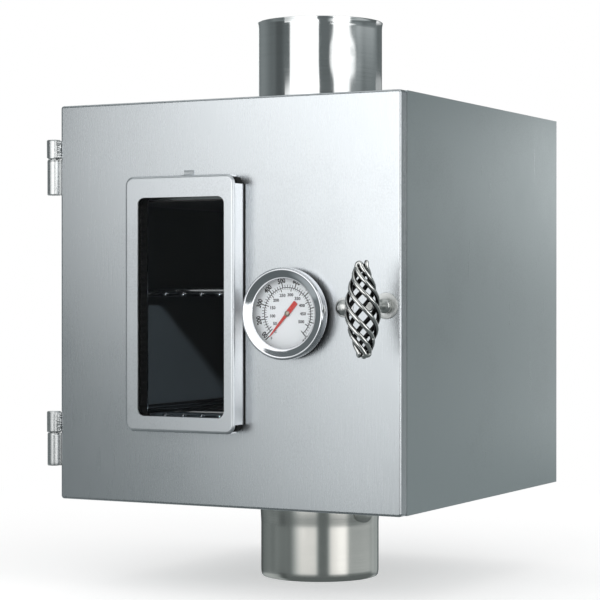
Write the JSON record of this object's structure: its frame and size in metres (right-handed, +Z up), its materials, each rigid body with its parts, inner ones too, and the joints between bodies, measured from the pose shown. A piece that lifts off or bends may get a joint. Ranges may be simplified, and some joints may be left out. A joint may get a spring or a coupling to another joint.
{
  "type": "flue-pipe camp oven",
  "caption": "Double-walled steel box oven for a tent stove's chimney, with flue collars, a hinged window door, dial thermometer, twisted-wire latch handle and wire racks.",
  "frame": {"origin": "centre of the lower flue collar's rim, on the flue axis", "axes": "+Z up along the flue axis, -Y out through the door, +X to the handle side, hinges on the -X side"},
  "size_m": [0.2659, 0.3201, 0.39],
  "materials": {
    "casing_steel": "satin brushed stainless",
    "chamber_steel": "satin stainless, heat-dulled",
    "collar_steel": "bright turned stainless",
    "door_steel": "satin brushed stainless",
    "frame_steel": "fine brushed stainless",
    "hinge_steel": "turned stainless with weld marks",
    "hardware_steel": "bright stainless",
    "handle_nickel": "antique nickel",
    "rack_chrome": "bright chrome wire",
    "bezel_chrome": "polished",
    "dial_paint": "matt white enamel",
    "pointer_red": "satin red",
    "window_glass": "dark heat-resistant glass",
    "lens_glass": "clear",
    "gasket": "braided glass fibre"
  },
  "bodies": {
    "oven_body": {"casing_wrap": "casing_steel", "top_panel": "casing_steel", "bottom_panel": "casing_steel", "front_frame": "casing_steel", "chamber_wrap": "chamber_steel", "chamber_back": "chamber_steel", "chamber_stays": "chamber_steel", "inlet_collar": "collar_steel", "outlet_collar": "collar_steel", "upper_left_rail": "chamber_steel", "upper_right_rail": "chamber_steel", "lower_left_rail": "chamber_steel", "lower_right_rail": "chamber_steel", "upper_body_knuckle": "hinge_steel", "lower_body_knuckle": "hinge_steel", "upper_hinge_pin": "hinge_steel", "lower_hinge_pin": "hinge_steel"},
    "door": {"door_panel": "door_steel", "window_frame": "frame_steel", "front_gasket": "gasket", "window_glass": "window_glass", "rear_gasket": "gasket", "frame_clip": "frame_steel", "latch_plate": "hardware_steel", "latch_rivet": "hardware_steel", "rivet_washer": "hardware_steel", "spindle_washer": "hardware_steel", "spring_washer": "hardware_steel", "upper_door_knuckle": "hinge_steel", "lower_door_knuckle": "hinge_steel", "gauge_case": "hardware_steel", "gauge_bezel": "bezel_chrome", "gauge_lens": "lens_glass", "gauge_dial": "dial_paint", "gauge_stem": "hardware_steel", "gauge_washer": "hardware_steel", "gauge_nut": "hardware_steel", "bimetal_coil": "hardware_steel"},
    "handle": {"handle_cage": "handle_nickel", "handle_stem": "hardware_steel", "spindle_bush": "hardware_steel", "latch_cam": "hardware_steel", "spindle_nut": "hardware_steel"},
    "thermometer_pointer": {"pointer": "pointer_red", "pointer_shaft": "hardware_steel"},
    "upper_rack": {"upper_rack": "rack_chrome"},
    "lower_rack": {"lower_rack": "rack_chrome"}
  },
  "joints": [
    {"name": "door_hinge", "type": "hinge", "parent": "oven_body", "child": "door", "pos_m": [-0.1328, -0.137, 0.193], "axis": [0, 0, -1], "range_deg": [0, 180]},
    {"name": "handle_turn", "type": "hinge", "parent": "door", "child": "handle", "pos_m": [0.117, -0.1375, 0.1914], "axis": [0, 1, 0], "range_deg": [0, 90]},
    {"name": "pointer_turn", "type": "hinge", "parent": "door", "child": "thermometer_pointer", "pos_m": [0.0492, -0.1375, 0.1862], "axis": [0, 1, 0], "range_deg": [0, 278], "stiffness_Nm_per_rad": 0.0005},
    {"name": "upper_rack_slide", "type": "slide", "parent": "oven_body", "child": "upper_rack", "axis": [0, -1, 0], "range_m": [0, 0.008]},
    {"name": "lower_rack_slide", "type": "slide", "parent": "oven_body", "child": "lower_rack", "axis": [0, -1, 0], "range_m": [0, 0.008]}
  ]
}
